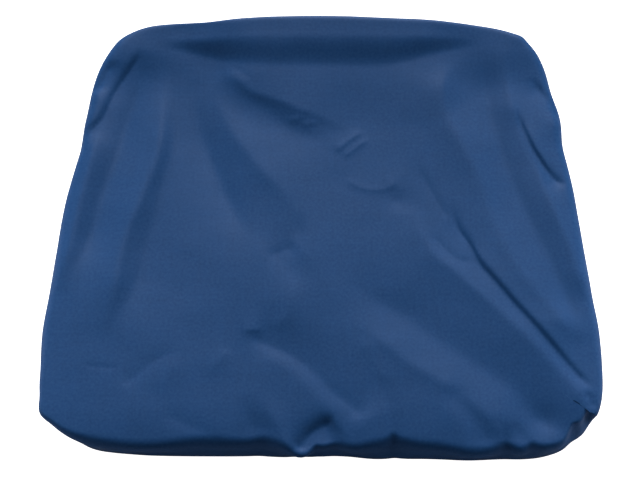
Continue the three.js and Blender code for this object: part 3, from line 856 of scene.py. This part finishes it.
def thread_material(looks):
    """Twisted sewing thread."""
    material, tree, shader = new_material("navy sewing thread")
    place = add_node(tree, "ShaderNodeTexCoord", {}).outputs["Object"]
    twist = calculate(tree, "MULTIPLY", noise(tree, place, TWIST_SCALE), TWIST_TONE)
    tone = calculate(tree, "ADD", twist, 1.0 - 0.5 * TWIST_TONE)
    colour = shade(tree, looks.thread_colour, tone)
    plug(tree, shader, {"Base Color": colour, "Roughness": THREAD_ROUGHNESS})
    return material


def stitch_tree(material):
    """Stitches laid end to end along a closed line, as small round-ended lengths of thread."""
    inputs = {"Line": "Geometry", "Pitch": "Float", "Stitch Length": "Float", "Thread Radius": "Float"}
    tree, enter, leave = new_group("stitch row", "GeometryNodeTree", inputs, {"Stitches": "Geometry"})
    curve = add_node(tree, "GeometryNodeMeshToCurve", {"Mesh": enter["Line"]})
    even = add_node(tree, "GeometryNodeResampleCurve",
                    {"Curve": curve.outputs["Curve"], "Length": enter["Pitch"]}, mode="LENGTH")

    ball = add_node(tree, "GeometryNodeMeshUVSphere",
                    {"Segments": STITCH_SIDES, "Rings": STITCH_RINGS, "Radius": 1.0})
    size = add_node(tree, "ShaderNodeCombineXYZ", {
        "X": enter["Thread Radius"],
        "Y": enter["Thread Radius"],
        "Z": calculate(tree, "MULTIPLY", enter["Stitch Length"], 0.5),
    })
    tangent = add_node(tree, "GeometryNodeInputTangent", {})
    align = add_node(tree, "FunctionNodeAlignRotationToVector",
                     {"Vector": tangent.outputs["Tangent"]}, axis="Z")
    lay = add_node(tree, "GeometryNodeInstanceOnPoints", {
        "Points": even.outputs["Curve"],
        "Instance": ball.outputs["Mesh"],
        "Rotation": align.outputs["Rotation"],
        "Scale": size.outputs["Vector"],
    })

    real = add_node(tree, "GeometryNodeRealizeInstances", {"Geometry": lay.outputs["Instances"]})
    smooth = add_node(tree, "GeometryNodeSetShadeSmooth", {"Geometry": real.outputs["Geometry"]})
    finish = add_node(tree, "GeometryNodeSetMaterial",
                      {"Geometry": smooth.outputs["Geometry"], "Material": material})
    plug(tree, leave, {"Stitches": finish.outputs["Geometry"]})
    return tree


def set_inputs(modifier, values):
    """Sets a Geometry Nodes modifier's inputs by their sockets' identifiers."""
    for item in modifier.node_group.interface.items_tree:
        if item.in_out == "INPUT" and item.name in values:
            modifier[item.identifier] = values[item.name]


def plain_mesh(piece):
    """Replaces a piece's mesh and modifiers with what they make."""
    graph = bpy.context.evaluated_depsgraph_get()
    made = bpy.data.meshes.new_from_object(piece.evaluated_get(graph))
    piece.modifiers.clear()
    piece.data = made


def metres(name, description, default, precision=4):
    return FloatProperty(
        name=name, description=description, default=default, unit="LENGTH", precision=precision)


def degrees(name, description, default):
    return FloatProperty(
        name=name, description=description, default=math.radians(default), subtype="ANGLE")


def factor(name, description, default):
    return FloatProperty(name=name, description=description, default=default, subtype="FACTOR")


def watts(name, description, default):
    return FloatProperty(name=name, description=description, default=default, unit="POWER")


def rgb(name, description, default):
    return FloatVectorProperty(
        name=name, description=description, default=default, subtype="COLOR", size=3, min=0, max=1)


class CoverSizes(bpy.types.PropertyGroup):
    """Sizes of the cloth and of the lid that it is drawn over."""

    cloth_thickness: metres("Cloth Thickness", "Thickness of the woven cloth", 0.7 * MM)
    front_roll_radius: metres(
        "Front Roll Radius", "How round the cloth turns over the lid's front edge", 13.5 * MM)
    side_roll_radius: metres(
        "Side Roll Radius", "How round the cloth turns over the lid's side edges", 11 * MM)
    back_roll_radius: metres(
        "Back Roll Radius", "How round the cloth turns over the lid's back edge", 5 * MM)
    wall_height: metres(
        "Wall Height", "From the level of the top to the foot of the skirt's upright wall", 35 * MM)
    tuck_radius: metres("Tuck Radius", "How round the cloth turns in under the lid", 9 * MM)
    hem_depth: metres("Hem Depth", "Length of cloth under the lid", 44 * MM)
    wall_turn: degrees("Wall Turn", "Angle that the wall bends through", 4)
    tuck_turn: degrees("Tuck Turn", "Angle that the cloth turns in under the lid", 95)
    hem_rise: degrees("Hem Rise", "Slope at which the hem rises inwards", 5)
    back_rim_height: metres("Back Rim Height", "How far the lid's rim stands proud along the back", 17 * MM)
    gather_count: IntProperty(name="Gathers", description="Number of gathers round the hem", default=76)
    gather_height: metres("Gather Height", "How far the gathers stand out at the free edge", 3.4 * MM)
    gather_unevenness: factor("Gather Unevenness", "Share by which the gathers swell and shrink", 0.4)
    wave_height: metres("Wave Height", "Height of the wide waves at the foot of the skirt", 2.6 * MM)
    half_side: IntProperty(
        name="Net Size", description="Squares from the middle of the top to its edge", default=88)
    stitch_pitch: metres("Stitch Pitch", "Distance from one stitch to the next", 3.6 * MM)
    stitch_length: metres("Stitch Length", "Length of thread that shows in one stitch", 2.9 * MM)
    thread_radius: metres("Thread Radius", "Half the thread's thickness", 0.3 * MM, 5)


class CoverLooks(bpy.types.PropertyGroup):
    """Colours and finishes."""

    cloth_colour: rgb("Cloth Colour", "Colour of the cloth", (0.0054, 0.0452, 0.147))
    cloth_roughness: factor("Cloth Roughness", "How widely the cloth scatters its shine", 0.6)
    cloth_gloss: factor("Cloth Gloss", "Strength of the cloth's shine", 0.16)
    grain_colour: rgb(
        "Grain Colour", "Light that the cloth's uneven grain adds or takes away", (0.012, 0.026, 0.046))
    threads_per_metre: FloatProperty(
        name="Threads per Metre", description="How closely the cloth is woven", default=1400.0)
    thread_colour: rgb("Thread Colour", "Colour of the sewing thread", (0.02, 0.05, 0.13))
    floor_colour: rgb("Floor Colour", "Colour of the floor", (0.82, 0.82, 0.82))
    floor_glow: FloatProperty(
        name="Floor Glow", description="How far shadows on the floor are kept pale", default=1.1)


class CoverStage(bpy.types.PropertyGroup):
    """Camera and lights."""

    camera_elevation: degrees("Camera Elevation", "Angle of the camera above the horizon", 66)
    camera_distance: metres("Camera Distance", "From the camera to the point that it looks at", 2.2)
    camera_lens: FloatProperty(
        name="Camera Lens", description="Focal length in millimetres on a 36 mm sensor",
        default=109.79, unit="CAMERA")
    look_at_y: metres("Look-at Y", "Place on the top that the camera looks at", -22.54 * MM, 5)
    key_elevation: degrees("Key Light Elevation", "Angle of the main light above the back horizon", 31)
    key_azimuth: degrees("Key Light Azimuth", "Angle of the main light to the right of the back", 2)
    key_distance: metres("Key Light Distance", "From the main light to the cover", 12.0)
    key_size: metres("Key Light Size", "Side of the main light's square", 6.4)
    key_power: watts("Key Light Power", "Power of the main light in watts", 2460.0)
    side_distance: metres("Side Light Distance", "From the cover's middle line to each side light", 0.7)
    side_y: metres("Side Light Y", "Place of the side lights from front to back", -0.04)
    side_height: metres("Side Light Height", "Height of the side lights", 0.15)
    side_size: metres("Side Light Size", "Side of each side light's square", 0.4)
    left_power: watts("Left Light Power", "Power of the left light in watts", 1.6)
    right_power: watts("Right Light Power", "Power of the right light in watts", 1.7)
    fill_strength: FloatProperty(
        name="Fill Strength", description="Brightness of the light from all around", default=0.14)


class COVER_OT_make_cloth(bpy.types.Operator):
    """Make the cloth: its drawn top with every fold, its skirt and its gathered hem"""

    bl_idname = "cover.make_cloth"
    bl_label = "Make Cloth"

    def execute(self, context):
        sizes = context.scene.cover_sizes
        verts, faces, flat, *_ = shape_cloth(sizes)
        verts[:, 2] += centre_shift(sizes) * MM
        mesh = new_mesh(CLOTH_NAME, verts.tolist(), [], faces.tolist())
        mesh.polygons.foreach_set("use_smooth", [True] * len(mesh.polygons))
        mesh.update()
        add_uv(mesh, flat)
        mesh.materials.append(cloth_material(context.scene.cover_looks))
        piece = add_object(CLOTH_NAME, mesh)
        wall = piece.modifiers.new("cloth thickness", "SOLIDIFY")
        wall.thickness = sizes.cloth_thickness
        wall.offset = -1.0
        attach(piece, "root")
        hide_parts("cover")
        return {"FINISHED"}


class COVER_OT_sew_hem(bpy.types.Operator):
    """Sew the row of stitches that holds the hem"""

    bl_idname = "cover.sew_hem"
    bl_label = "Sew Hem"

    def execute(self, context):
        sizes = context.scene.cover_sizes
        *_, rings, flats = shape_cloth(sizes)
        line = rings[-STITCH_STEPS_IN] * MM
        line[:, 2] += (centre_shift(sizes) - STITCH_SINK) * MM
        count = len(line)
        edges = [(k, (k + 1) % count) for k in range(count)]
        piece = add_object(STITCH_NAME, new_mesh(STITCH_NAME, line.tolist(), edges, []))
        modifier = piece.modifiers.new("stitch row", "NODES")
        modifier.node_group = stitch_tree(thread_material(context.scene.cover_looks))
        values = (sizes.stitch_pitch, sizes.stitch_length, sizes.thread_radius)
        set_inputs(modifier, dict(zip(("Pitch", "Stitch Length", "Thread Radius"), values)))
        plain_mesh(piece)
        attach(piece, "root")
        return {"FINISHED"}


class COVER_OT_set_stage(bpy.types.Operator):
    """Set the pale floor, the soft lights and the camera"""

    bl_idname = "cover.set_stage"
    bl_label = "Set Stage"

    def execute(self, context):
        scene = context.scene
        self.lay_floor(scene.cover_looks)
        self.hang_lights(scene, scene.cover_stage)
        self.stand_camera(scene, scene.cover_stage)
        scene.view_settings.view_transform = "Standard"
        return {"FINISHED"}

    def lay_floor(self, looks):
        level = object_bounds()[0].z
        corners = [(-1, -1), (1, -1), (1, 1), (-1, 1)]
        places = [(x * FLOOR_REACH, y * FLOOR_REACH, level) for x, y in corners]
        floor = add_object("floor", new_mesh("floor", places, [], [(0, 1, 2, 3)]))
        material, tree, shader = new_material("pale floor")
        rays = add_node(tree, "ShaderNodeLightPath", {})
        glow = calculate(tree, "MULTIPLY", rays.outputs["Is Camera Ray"], looks.floor_glow)
        plug(tree, shader, {
            "Base Color": (*looks.floor_colour, 1.0),
            "Roughness": FLOOR_ROUGHNESS,
            "Emission Color": WHITE,
            "Emission Strength": glow,
        })
        floor.data.materials.append(material)
        floor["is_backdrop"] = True

    def hang_light(self, name, place, size, power):
        light = bpy.data.lights.new(name, "AREA")
        light.size = size
        light.energy = power
        lamp = add_object(name, light)
        lamp.location = place
        lamp.rotation_euler = (-place).to_track_quat("-Z", "Y").to_euler()

    def hang_lights(self, scene, stage):
        level = math.cos(stage.key_elevation)
        way = Vector((math.sin(stage.key_azimuth) * level, math.cos(stage.key_azimuth) * level,
                      math.sin(stage.key_elevation)))
        self.hang_light("key light", way * stage.key_distance, stage.key_size, stage.key_power)
        sides = (("left light", -1.0, stage.left_power), ("right light", 1.0, stage.right_power))
        for name, side, power in sides:
            place = Vector((side * stage.side_distance, stage.side_y, stage.side_height))
            self.hang_light(name, place, stage.side_size, power)
        world = bpy.data.worlds.new("studio")
        world.use_nodes = True
        background = world.node_tree.nodes["Background"]
        plug(world.node_tree, background, {"Color": WHITE, "Strength": stage.fill_strength})
        scene.world = world

    def stand_camera(self, scene, stage):
        lens = bpy.data.cameras.new("camera")
        lens.lens = stage.camera_lens
        lens.sensor_width = SENSOR_WIDTH
        camera = add_object("camera", lens)
        angle = stage.camera_elevation
        target = Vector((0.0, stage.look_at_y, 0.0))
        back = Vector((0.0, -math.cos(angle), math.sin(angle)))
        camera.location = target + back * stage.camera_distance
        camera.rotation_euler = (-back).to_track_quat("-Z", "Y").to_euler()
        scene.camera = camera


OPERATORS = (COVER_OT_make_cloth, COVER_OT_sew_hem, COVER_OT_set_stage)


class COVER_PT_sidebar(bpy.types.Panel):
    bl_idname = "COVER_PT_sidebar"
    bl_label = "Hatch Cover"
    bl_space_type = "VIEW_3D"
    bl_region_type = "UI"
    bl_category = "Cover"

    def draw(self, context):
        for operator in OPERATORS:
            self.layout.operator(operator.bl_idname)
        for settings in (context.scene.cover_sizes, context.scene.cover_looks, context.scene.cover_stage):
            box = self.layout.box()
            for name in settings.__annotations__:
                box.prop(settings, name)


CLASSES = (CoverSizes, CoverLooks, CoverStage, *OPERATORS, COVER_PT_sidebar)


def register():
    for made in CLASSES:
        bpy.utils.register_class(made)
    bpy.types.Scene.cover_sizes = PointerProperty(type=CoverSizes)
    bpy.types.Scene.cover_looks = PointerProperty(type=CoverLooks)
    bpy.types.Scene.cover_stage = PointerProperty(type=CoverStage)


def unregister():
    del bpy.types.Scene.cover_stage
    del bpy.types.Scene.cover_looks
    del bpy.types.Scene.cover_sizes
    for made in reversed(CLASSES):
        bpy.utils.unregister_class(made)


def main():
    register()
    bpy.ops.cover.make_cloth()
    bpy.ops.cover.sew_hem()
    bpy.ops.cover.set_stage()


if __name__ == "__main__":
    main()
